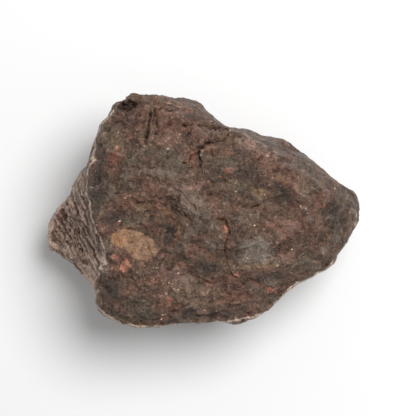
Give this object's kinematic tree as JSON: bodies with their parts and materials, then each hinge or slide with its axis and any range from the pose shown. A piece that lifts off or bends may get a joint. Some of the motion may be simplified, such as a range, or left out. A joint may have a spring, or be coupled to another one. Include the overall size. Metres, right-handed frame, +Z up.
{
  "type": "meteorite",
  "caption": "Weathered dark stony meteorite lying on its small flat underside: blunt ridges, shallow thumbprint hollows, a gas pit, cracks and a ribbed broken flank.",
  "frame": {"origin": "middle of the stone's outline at the level of the flat underside that it rests on", "axes": "+X along the longest extent, towards the blunt pointed end; +Y towards the back edge with the gas pit; +Z up out of the resting face"},
  "size_m": [0.067, 0.049, 0.036],
  "materials": {
    "weathered_stone": "dark grey-brown weathered crust with rust stains, tan and orange fragments, soft sheen"
  },
  "bodies": {
    "root": {"meteorite": "weathered_stone"}
  },
  "joints": []
}
